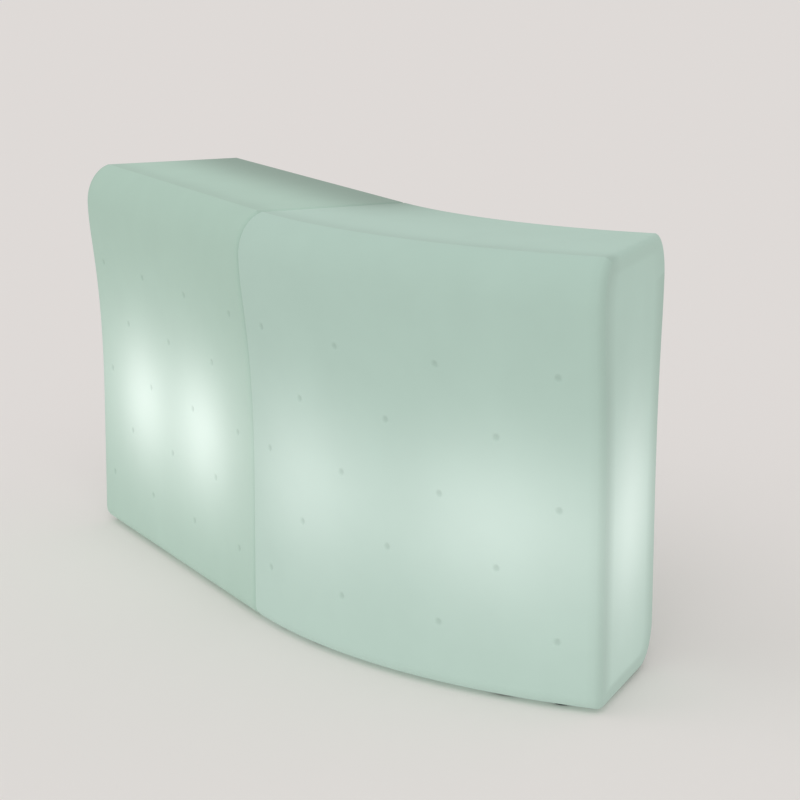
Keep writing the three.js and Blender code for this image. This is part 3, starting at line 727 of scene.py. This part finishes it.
# The light is strongest a little above the middle of a lamp.
GLOW_RISE = mm(40)


def lamp_places(plan):
    """Where the light of a module's two lamps is strongest, from their CAD solids."""
    boxes = [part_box(f"{plan.name}_{hand}_lamp") for hand in ("left", "right")]
    return [(low + high) / 2 + Vector((0, 0, GLOW_RISE)) for low, high in boxes]


def shell_glow(shell, plan):
    """Bells of light on a shell: both lamps on the front, one lamp on the free end, and along the base."""
    lamps = lamp_places(plan)
    free_end = 0 if plan.name == "straight" else plan.length
    spots = [(lamp, *bell) for lamp in lamps for bell in LAMP_BELLS[plan.name]]
    spots.append((plan.place(free_end, shell.depth / 2, lamps[0].z), *END_BELL[plan.name]))
    spots.append((plan.place(plan.length / 2, 0, shell.base), *BASE_BELL[plan.name]))
    return spots


class COUNTER_OT_shells(bpy.types.Operator):
    """Builds the two moulded shells with their dimpled fronts"""

    bl_idname = "counter.shells"
    bl_label = "Shells"

    def execute(self, context):
        scene = context.scene
        shell, niche, colours = scene.counter_shell, scene.counter_niche, scene.counter_colours
        for plan in plans(shell):
            finish = lit_polyethylene(
                f"lit_polyethylene_{plan.name}", colours.polyethylene, getattr(colours, f"{plan.name}_haze"),
                colours.lamplight, HAZE_LEVEL[plan.name], shell_glow(shell, plan), SHELL_ROUGHNESS)
            mesh_object(
                f"{plan.name}_moulded_shell", shell_mesh(shell, niche, plan), finish,
                [f"{plan.name}_shell"])
        return {"FINISHED"}


# Niche liners

LINER_ROUND = mm(8)
LIP_ROUND = mm(1.5)
CORNER_STEPS = 8
# Light through the liners: level of the haze, and reach and level of the bell around each lamp.
LINER_HAZE = 0.12
LINER_BELL = ((mm(130), mm(130), mm(190)), 0.35)
LINER_ROUGHNESS = 0.42


def niche_ring(shell, niche, plan, margin):
    """A rounded rectangle around the niche in s and z, grown by a margin, anticlockwise from the rear."""
    radius = niche.corner + margin
    left, right = niche.side + niche.corner, plan.length - niche.side - niche.corner
    low, high = niche.bottom + niche.corner, shell.height - niche.headroom - niche.corner
    across, up = spread((left, right), GRID_STEP), spread((low, high), GRID_STEP)
    ring = [(s, low - radius) for s in across[:-1]]
    ring += arc((right, low), (radius, radius), -QUARTER, 0, CORNER_STEPS)[:-1]
    ring += [(right + radius, z) for z in up[:-1]]
    ring += arc((right, high), (radius, radius), 0, QUARTER, CORNER_STEPS)[:-1]
    ring += [(s, high + radius) for s in across[:0:-1]]
    ring += arc((left, high), (radius, radius), QUARTER, 2 * QUARTER, CORNER_STEPS)[:-1]
    ring += [(left - radius, z) for z in up[:0:-1]]
    ring += arc((left, low), (radius, radius), 2 * QUARTER, 3 * QUARTER, CORNER_STEPS)[:-1]
    return ring, len(across) - 1, len(up) - 1


def liner_mesh(shell, niche, plan):
    """A tray with a round inner edge at its back and a flange that follows the shell's rear face."""
    build = bmesh.new()
    face = niche.seat + niche.wall

    def ring(margin, depth):
        points, across, up = niche_ring(shell, niche, plan, margin)
        return [build.verts.new(plan.place(s, depth(z), z)) for s, z in points], across, up

    def on_face(out):
        return lambda z: rear_face(shell, z) + out

    def flat(depth):
        return lambda z: depth

    # Over the flange: margin around the niche, and how far below the flange's face.
    lip = (
        (niche.flange, niche.wall), (niche.flange, LIP_ROUND),
        (niche.flange - LIP_ROUND * 0.3, LIP_ROUND * 0.3), (niche.flange - LIP_ROUND, 0),
        (LIP_ROUND * 2, 0), (LIP_ROUND * 0.6, LIP_ROUND * 0.6), (0, LIP_ROUND * 2),
    )
    inside = [ring(margin, on_face(face - below)) for margin, below in lip]
    # Down the tray's sides, as shares of its depth.
    for share in (0.75, 0.5, 0.25):
        inside.append(ring(0, flat(niche.back + (shell.depth - niche.back) * share)))
    for i in range(CORNER_STEPS + 1):
        turn = QUARTER * i / CORNER_STEPS
        inside.append(ring(
            -LINER_ROUND * (1 - math.cos(turn)), flat(niche.back + LINER_ROUND * (1 - math.sin(turn)))))
    outside = [
        inside[0], ring(niche.wall, on_face(niche.seat)), ring(niche.wall, flat(niche.back - niche.wall)),
    ]
    for chain in (inside, outside):
        for (first, *_), (second, *_) in zip(chain, chain[1:]):
            strip(build, first, second)
    for cap, across, up in (inside[-1], outside[-1]):
        fill_niche_back(build, cap, across, up)
    return closed_mesh(build)


def fill_niche_back(build, cap, across, up):
    """Faces across a niche ring, between its lower and upper points at the same place along the front."""
    count = len(cap)
    right_top = across + CORNER_STEPS + up
    left_top = right_top + 2 * CORNER_STEPS + across
    steps = range(CORNER_STEPS + 1)
    columns = (
        ([across + i for i in steps], [right_top + CORNER_STEPS - i for i in steps]),
        ([(count - i) % count for i in steps], [left_top - CORNER_STEPS + i for i in steps]),
        (list(range(across + 1)), [left_top - CORNER_STEPS - i for i in range(across + 1)]),
    )
    uprights = (
        range(across + CORNER_STEPS, right_top + 1), range(count - CORNER_STEPS, left_top - 1, -1), (),
    )
    for (low, high), upright in zip(columns, uprights):
        for i in range(len(low) - 1):
            last = upright and i == CORNER_STEPS - 1
            beyond = list(upright) if last else [low[i + 1], high[i + 1]]
            build.faces.new([cap[k] for k in (low[i], *beyond, high[i])])


class COUNTER_OT_liners(bpy.types.Operator):
    """Builds the two niche liners"""

    bl_idname = "counter.liners"
    bl_label = "Niche liners"

    def execute(self, context):
        scene = context.scene
        shell, niche, colours = scene.counter_shell, scene.counter_niche, scene.counter_colours
        for plan in plans(shell):
            spots = [(lamp, *LINER_BELL) for lamp in lamp_places(plan)]
            finish = lit_polyethylene(
                f"lit_liner_polyethylene_{plan.name}", colours.liner, colours.straight_haze,
                colours.lamplight, LINER_HAZE, spots, LINER_ROUGHNESS)
            mesh_object(
                f"{plan.name}_liner_tray", liner_mesh(shell, niche, plan), finish,
                [f"{plan.name}_niche_liner"])
        return {"FINISHED"}


# Shelves

BOARD_ROUND = mm(1.5)
BOARD_STEPS = 3
RAIL_ROUND = mm(0.7)


def board_mesh(plan, span, depth, heights):
    """A board that follows a module's plan, with small round edges."""
    build = bmesh.new()
    start, end = span
    turns = [QUARTER * i / BOARD_STEPS for i in range(BOARD_STEPS + 1)]
    left = [(start + BOARD_ROUND * (1 - math.cos(t)), BOARD_ROUND * (1 - math.sin(t))) for t in turns]
    middle = [(s, 0.0) for s in spread((start + BOARD_ROUND, end - BOARD_ROUND), GRID_STEP)[1:-1]]
    path = left + middle + [(start + end - s, i) for s, i in left[::-1]]
    radii = (BOARD_ROUND, BOARD_ROUND)
    rings = []
    for s, drawn in path:
        edge = drawn + BOARD_ROUND
        (n0, n1), (z0, z1) = [(low + edge, high - edge) for low, high in (depth, heights)]
        corners = ((n1, z0, -QUARTER), (n1, z1, 0), (n0, z1, QUARTER), (n0, z0, 2 * QUARTER))
        points = []
        for n, z, turn in corners:
            points += arc((n, z), radii, turn, turn + QUARTER, BOARD_STEPS)
        rings.append([build.verts.new(plan.place(s, n, z)) for n, z in points])
    for first, second in zip(rings, rings[1:]):
        strip(build, first, second)
    for cap in (rings[0], rings[-1]):
        build.faces.new(cap)
    return closed_mesh(build)


class COUNTER_OT_shelves(bpy.types.Operator):
    """Builds the shelf boards"""

    bl_idname = "counter.shelves"
    bl_label = "Shelves"

    def execute(self, context):
        scene = context.scene
        shell, niche = scene.counter_shell, scene.counter_niche
        finish = compact_laminate(scene.counter_colours.laminate)
        depth = (niche.back + niche.shelf_gap, shell.depth - niche.shelf_setback)
        for plan in plans(shell):
            start, middle = niche.side + niche.shelf_gap, plan.length / 2
            whole = {"": (start, plan.length - start)}
            halves = {
                "left_": (start, middle - niche.shelf_gap / 2),
                "right_": (middle + niche.shelf_gap / 2, plan.length - start),
            }
            for level in ("lower", "upper"):
                for half, span in (whole if plan.name == "straight" else halves).items():
                    node = f"{plan.name}_{level}_{half}shelf"
                    low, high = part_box(node)
                    board = board_mesh(plan, span, depth, (low.z, high.z))
                    mesh_object(f"{plan.name}_{level}_{half}board", board, finish, [node])
        return {"FINISHED"}


class COUNTER_OT_shelf_metal(bpy.types.Operator):
    """Builds the aluminium rails and brackets that carry the shelves"""

    bl_idname = "counter.shelf_metal"
    bl_label = "Rails and brackets"

    def execute(self, context):
        finish = anodised_aluminium(context.scene.counter_colours.aluminium)
        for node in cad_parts:
            if node.endswith(("_rail", "_bracket")):
                mesh_object(f"{node}_angle", softened(node, RAIL_ROUND), finish, [node])
        return {"FINISHED"}


# Screws on the flanges

HEAD_SEGMENTS = 24
# Button head: height as a share of its radius, then shares of its radius and height from seat to crown.
HEAD_RISE = 0.55
HEAD_PROFILE = [(1.0, 0.0), (1.0, 0.15), (0.93, 0.55), (0.78, 0.88), (0.64, 1.0)]
SOCKET_RADIUS = 0.52
SOCKET_FLOOR = 0.3


def screw_head(radius):
    """A button head with a hexagon socket, standing on its seat at z = 0."""
    build = bmesh.new()
    height = HEAD_RISE * radius
    turns = [2 * math.pi * i / HEAD_SEGMENTS for i in range(HEAD_SEGMENTS)]

    def hexagon(turn):
        across = SOCKET_RADIUS * radius * math.cos(math.pi / 6)
        return across / math.cos(turn % (math.pi / 3) - math.pi / 6)

    levels = [([share * radius] * HEAD_SEGMENTS, up * height) for share, up in HEAD_PROFILE]
    socket = [hexagon(t) for t in turns]
    levels += [(socket, height), (socket, SOCKET_FLOOR * height)]
    rings = []
    for reaches, z in levels:
        points = [(r * math.cos(t), r * math.sin(t), z) for r, t in zip(reaches, turns)]
        rings.append([build.verts.new(point) for point in points])
    for first, second in zip(rings, rings[1:]):
        strip(build, first, second)
    build.faces.new(rings[0])
    # A fan, since the points along one side of the hexagon lie in a line.
    floor = rings[-1]
    middle = build.verts.new((0, 0, SOCKET_FLOOR * height))
    for i in range(HEAD_SEGMENTS):
        build.faces.new((middle, floor[i], floor[(i + 1) % HEAD_SEGMENTS]))
    return closed_mesh(build)


def screw_tree():
    """Geometry Nodes: heads at even steps along a path, turned to its outward attribute."""
    tree = bpy.data.node_groups.new("Screws along a path", "GeometryNodeTree")
    sockets = (
        ("Path", "INPUT", "NodeSocketGeometry"), ("Head", "INPUT", "NodeSocketObject"),
        ("Spacing", "INPUT", "NodeSocketFloat"), ("Finish", "INPUT", "NodeSocketMaterial"),
        ("Screws", "OUTPUT", "NodeSocketGeometry"),
    )
    for name, way, kind in sockets:
        tree.interface.new_socket(name, in_out=way, socket_type=kind)
    given = add_node(tree, "NodeGroupInput")
    path = add_node(tree, "GeometryNodeMeshToCurve", {"Mesh": given.outputs["Path"]})
    steps = add_node(
        tree, "GeometryNodeResampleCurve",
        {"Curve": path.outputs[0], "Length": given.outputs["Spacing"]}, mode="LENGTH")
    outward = add_node(tree, "GeometryNodeInputNamedAttribute", {"Name": "outward"}, data_type="FLOAT_VECTOR")
    turn = add_node(tree, "FunctionNodeAlignRotationToVector", {"Vector": outward.outputs[0]}, axis="Z")
    head = add_node(tree, "GeometryNodeObjectInfo", {"Object": given.outputs["Head"]})
    heads = add_node(
        tree, "GeometryNodeInstanceOnPoints",
        {"Points": steps.outputs[0], "Instance": head.outputs["Geometry"], "Rotation": turn.outputs[0]})
    real = add_node(tree, "GeometryNodeRealizeInstances", {"Geometry": heads.outputs[0]})
    dressed = add_node(
        tree, "GeometryNodeSetMaterial", {"Geometry": real.outputs[0], "Material": given.outputs["Finish"]})
    add_node(tree, "NodeGroupOutput", {"Screws": dressed.outputs[0]})
    return tree


def flange_path(shell, niche, plan):
    """The line of screws around a flange, as a mesh with an outward direction at each point."""
    points, *_ = niche_ring(shell, niche, plan, niche.flange / 2)
    face = niche.seat + niche.wall
    verts, outward = [], []
    for s, z in points:
        verts.append(plan.place(s, rear_face(shell, z) + face, z))
        tilt = slope(lambda height: rear_face(shell, height), z)
        outward.append((Matrix.Rotation(plan.yaw(s), 3, "Z") @ Vector((0, 1, -tilt))).normalized())
    mesh = bpy.data.meshes.new("path")
    mesh.from_pydata(verts, [(i, (i + 1) % len(verts)) for i in range(len(verts))], [])
    attribute = mesh.attributes.new("outward", "FLOAT_VECTOR", "POINT")
    attribute.data.foreach_set("vector", [c for direction in outward for c in direction])
    return mesh


class COUNTER_OT_screws(bpy.types.Operator):
    """Sets a row of screws around each liner's flange"""

    bl_idname = "counter.screws"
    bl_label = "Flange screws"

    def execute(self, context):
        scene = context.scene
        shell, niche = scene.counter_shell, scene.counter_niche
        finish = zinc_plate(scene.counter_colours.zinc)
        tree = screw_tree()
        keys = {item.name: item.identifier for item in tree.interface.items_tree if item.in_out == "INPUT"}
        head = bpy.data.objects.new("screw_head", screw_head(niche.screw_radius))
        scene.collection.objects.link(head)
        for plan in plans(shell):
            maker = bpy.data.objects.new("screw_path", flange_path(shell, niche, plan))
            scene.collection.objects.link(maker)
            modifier = maker.modifiers.new("Screws", "NODES")
            modifier.node_group = tree
            modifier[keys["Head"]] = head
            modifier[keys["Spacing"]] = niche.screw_pitch
            modifier[keys["Finish"]] = finish
            evaluated = maker.evaluated_get(context.evaluated_depsgraph_get())
            mesh = bpy.data.meshes.new_from_object(evaluated)
            bpy.data.objects.remove(maker)
            mesh_object(f"{plan.name}_flange_screws", mesh, finish)
        bpy.data.objects.remove(head)
        return {"FINISHED"}


# Feet, glands and what shows underneath

# Foot: section of its pad as radius and height in mm from the underside up, then its threaded stem.
PAD_PROFILE = [
    (0, 1.2), (14.3, 1.2), (15.6, 0), (23.8, 0), (25.2, 0.5), (26, 2), (26, 4.2), (25.2, 4.6),
    (25.2, 5.4), (26, 5.8), (26, 8.4), (25.5, 9.5), (24.4, 10), (11, 10), (6, 10),
]
STEM_RADIUS = mm(6)
STEM_CHAMFER = (mm(1.2), mm(1.5))
THREAD_START = mm(11)
THREAD_MARGIN = mm(13)
THREAD_TURNS = 24
THREAD_DEPTH = mm(0.6)
FOOT_GRIT, FOOT_ROUGHNESS = mm(1.6), 0.5
# Lamp plate: its round lower edge as inset from the rim and height in mm.
PLATE_EDGE = [(1.2, 0), (0.4, 0.4), (0, 1.2)]
PLATE_SEGMENTS = 64
WHITE_GRIT, WHITE_ROUGHNESS = mm(1.2), 0.4
LINK_ROUND = mm(0.5)
GLAND_ROUND = mm(0.6)


def stand(mesh, node):
    """A turned mesh, moved to stand in the middle of a node's box."""
    low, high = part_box(node)
    mesh.transform(Matrix.Translation(((low.x + high.x) / 2, (low.y + high.y) / 2, low.z)))
    return mesh


def foot_profile(top):
    """A levelling foot's section, up to the top of its stem."""
    profile = [(mm(radius), mm(z)) for radius, z in PAD_PROFILE]
    pitch = (top - THREAD_MARGIN) / THREAD_TURNS
    for i in range(THREAD_TURNS):
        z = THREAD_START + pitch * i
        profile += [(STEM_RADIUS, z), (STEM_RADIUS - THREAD_DEPTH, z + pitch / 2)]
    width, drop = STEM_CHAMFER
    return profile + [(STEM_RADIUS, top - drop), (STEM_RADIUS - width, top), (0, top)]


class COUNTER_OT_feet(bpy.types.Operator):
    """Builds the eight levelling feet, each on its own body"""

    bl_idname = "counter.feet"
    bl_label = "Levelling feet"

    def execute(self, context):
        nylon = context.scene.counter_colours.nylon
        finish = plain_plastic("glass_filled_nylon", nylon, FOOT_GRIT, FOOT_ROUGHNESS)
        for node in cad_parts:
            if node.endswith("_foot"):
                low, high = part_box(node)
                mesh = stand(turned(foot_profile(high.z - low.z)), node)
                mesh_object(f"{node}_glide", mesh, finish, [node], f"{node}_body")
        return {"FINISHED"}


class COUNTER_OT_fittings(bpy.types.Operator):
    """Builds the cable glands, lamp plates, link plates and bolts, and finishes the pieces inside"""

    bl_idname = "counter.fittings"
    bl_label = "Fittings"

    def execute(self, context):
        colours = context.scene.counter_colours
        zinc = bpy.data.materials["galvanised_steel"]
        nylon = bpy.data.materials["glass_filled_nylon"]
        white = plain_plastic("white_polycarbonate", colours.white, WHITE_GRIT, WHITE_ROUGHNESS)
        lamp = opal_glass(colours.phosphor)
        for node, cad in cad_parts.items():
            if node.endswith("_lamp_plate"):
                low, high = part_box(node)
                radius, thick = (high.x - low.x) / 2, high.z - low.z
                edge = [(radius - mm(inset), mm(z)) for inset, z in PLATE_EDGE]
                mesh = turned([(0, 0), *edge, (radius, thick), (0, thick)], PLATE_SEGMENTS)
                mesh_object(f"{node}_disc", stand(mesh, node), zinc, [node])
            elif "_link_" in node:
                mesh_object(f"{node}_zinc", softened(node, LINK_ROUND), zinc, [node])
            elif node.endswith("_cable_gland"):
                mesh_object(f"{node}_nut", softened(node, GLAND_ROUND), nylon, [node])
            elif node.endswith("_lamp"):
                self.dress(cad, lamp)
            elif node.endswith(("_lamp_holder", "_ballast", "_lamp_wire")):
                self.dress(cad, white)
        return {"FINISHED"}

    def dress(self, cad, finish):
        cad.data.materials.clear()
        cad.data.materials.append(finish)


# Stage

# Suns: turn and spread in degrees, with the strength between them.
SUNS = {"key": ((48, 0, 62), 0.5, 40), "fill": ((55, 0, -25), 0.2, 60)}
CAMERA_PLACE = (6.005, -2.888, 1.977)
CAMERA_HEADING = math.radians(153.763)
CAMERA_TILT = math.radians(11.995)
CAMERA_ROLL = math.radians(0.145)
CAMERA_LENS = 113.11
CAMERA_FAR = 100.0
FLOOR_SIZE = 240.0
WORLD_LEVEL = 0.7


class COUNTER_OT_stage(bpy.types.Operator):
    """Makes the floor, the lights and the camera"""

    bl_idname = "counter.stage"
    bl_label = "Stage"

    def execute(self, context):
        scene = context.scene
        scene.view_settings.view_transform = "Standard"
        self.floor(scene)
        self.world(scene)
        for name, sun in SUNS.items():
            self.sun(scene, name, *sun)
        self.camera(scene)
        return {"FINISHED"}

    def floor(self, scene):
        build = bmesh.new()
        half = FLOOR_SIZE / 2
        corners = ((-half, -half), (half, -half), (half, half), (-half, half))
        build.faces.new([build.verts.new((x, y, 0)) for x, y in corners])
        mesh = bpy.data.meshes.new("studio_floor")
        build.to_mesh(mesh)
        build.free()
        # Matt floor paint: even and without shine, so that only the shadow shows on it.
        material, _, shader, _ = new_material("painted_floor")
        shader.inputs["Base Color"].default_value = opaque(scene.counter_colours.floor)
        shader.inputs["Roughness"].default_value = 0.9
        shader.inputs["Specular IOR Level"].default_value = 0.0
        mesh.materials.append(material)
        floor = bpy.data.objects.new("studio_floor", mesh)
        scene.collection.objects.link(floor)

    def world(self, scene):
        world = bpy.data.worlds.new("studio")
        world.use_nodes = True
        tree = world.node_tree
        tree.nodes.clear()
        rays = add_node(tree, "ShaderNodeLightPath").outputs
        seen = add_node(
            tree, "ShaderNodeMath", {0: rays["Is Camera Ray"], 1: rays["Is Glossy Ray"]}, operation="MAXIMUM")
        seen = add_node(
            tree, "ShaderNodeMath", {0: seen.outputs[0], 1: rays["Is Transmission Ray"]}, operation="MAXIMUM")
        backdrop = opaque(scene.counter_colours.backdrop)
        light = add_node(tree, "ShaderNodeBackground", {"Color": (1, 1, 1, 1), "Strength": WORLD_LEVEL})
        wall = add_node(tree, "ShaderNodeBackground", {"Color": backdrop, "Strength": 1.0})
        both = add_node(
            tree, "ShaderNodeMixShader", {0: seen.outputs[0], 1: light.outputs[0], 2: wall.outputs[0]})
        add_node(tree, "ShaderNodeOutputWorld", {"Surface": both.outputs[0]})
        scene.world = world

    def sun(self, scene, name, turn, strength, angle):
        light = bpy.data.lights.new(name, "SUN")
        light.energy = strength
        light.angle = math.radians(angle)
        lamp = bpy.data.objects.new(name, light)
        lamp.rotation_euler = [math.radians(degrees) for degrees in turn]
        scene.collection.objects.link(lamp)

    def camera(self, scene):
        lens = bpy.data.cameras.new("camera")
        lens.lens = CAMERA_LENS
        lens.clip_end = CAMERA_FAR
        camera = bpy.data.objects.new("camera", lens)
        ahead = Vector((
            math.cos(CAMERA_HEADING) * math.cos(CAMERA_TILT),
            math.sin(CAMERA_HEADING) * math.cos(CAMERA_TILT),
            -math.sin(CAMERA_TILT),
        ))
        level = Vector((math.sin(CAMERA_HEADING), -math.cos(CAMERA_HEADING), 0))
        upright = level.cross(ahead)
        right = level * math.cos(CAMERA_ROLL) + upright * math.sin(CAMERA_ROLL)
        up = upright * math.cos(CAMERA_ROLL) - level * math.sin(CAMERA_ROLL)
        turn = Matrix((right, up, -ahead)).transposed().to_4x4()
        camera.matrix_world = Matrix.Translation(CAMERA_PLACE) @ turn
        scene.collection.objects.link(camera)
        scene.camera = camera


STEPS = (
    COUNTER_OT_stage, COUNTER_OT_shells, COUNTER_OT_liners, COUNTER_OT_shelves, COUNTER_OT_shelf_metal,
    COUNTER_OT_screws, COUNTER_OT_feet, COUNTER_OT_fittings,
)


class COUNTER_PT_pieces(bpy.types.Panel):
    """Lists the counter's sizes and pieces"""

    bl_idname = "COUNTER_PT_pieces"
    bl_label = "Bar counter"
    bl_space_type = "VIEW_3D"
    bl_region_type = "UI"
    bl_category = "Bar counter"

    def draw(self, context):
        scene = context.scene
        for group in (scene.counter_shell, scene.counter_niche, scene.counter_colours):
            box = self.layout.box()
            for name in type(group).__annotations__:
                box.prop(group, name)
        for step in STEPS:
            self.layout.operator(step.bl_idname)


GROUPS = {"counter_shell": ShellSizes, "counter_niche": NicheSizes, "counter_colours": CounterColours}


def register():
    for cls in (*GROUPS.values(), *STEPS, COUNTER_PT_pieces):
        bpy.utils.register_class(cls)
    for name, cls in GROUPS.items():
        setattr(bpy.types.Scene, name, PointerProperty(type=cls))


def unregister():
    for name in GROUPS:
        delattr(bpy.types.Scene, name)
    for cls in (COUNTER_PT_pieces, *STEPS[::-1], *GROUPS.values()):
        bpy.utils.unregister_class(cls)


def main():
    register()
    for step in STEPS:
        group, name = step.bl_idname.split(".")
        getattr(getattr(bpy.ops, group), name)()


if __name__ == "__main__":
    main()
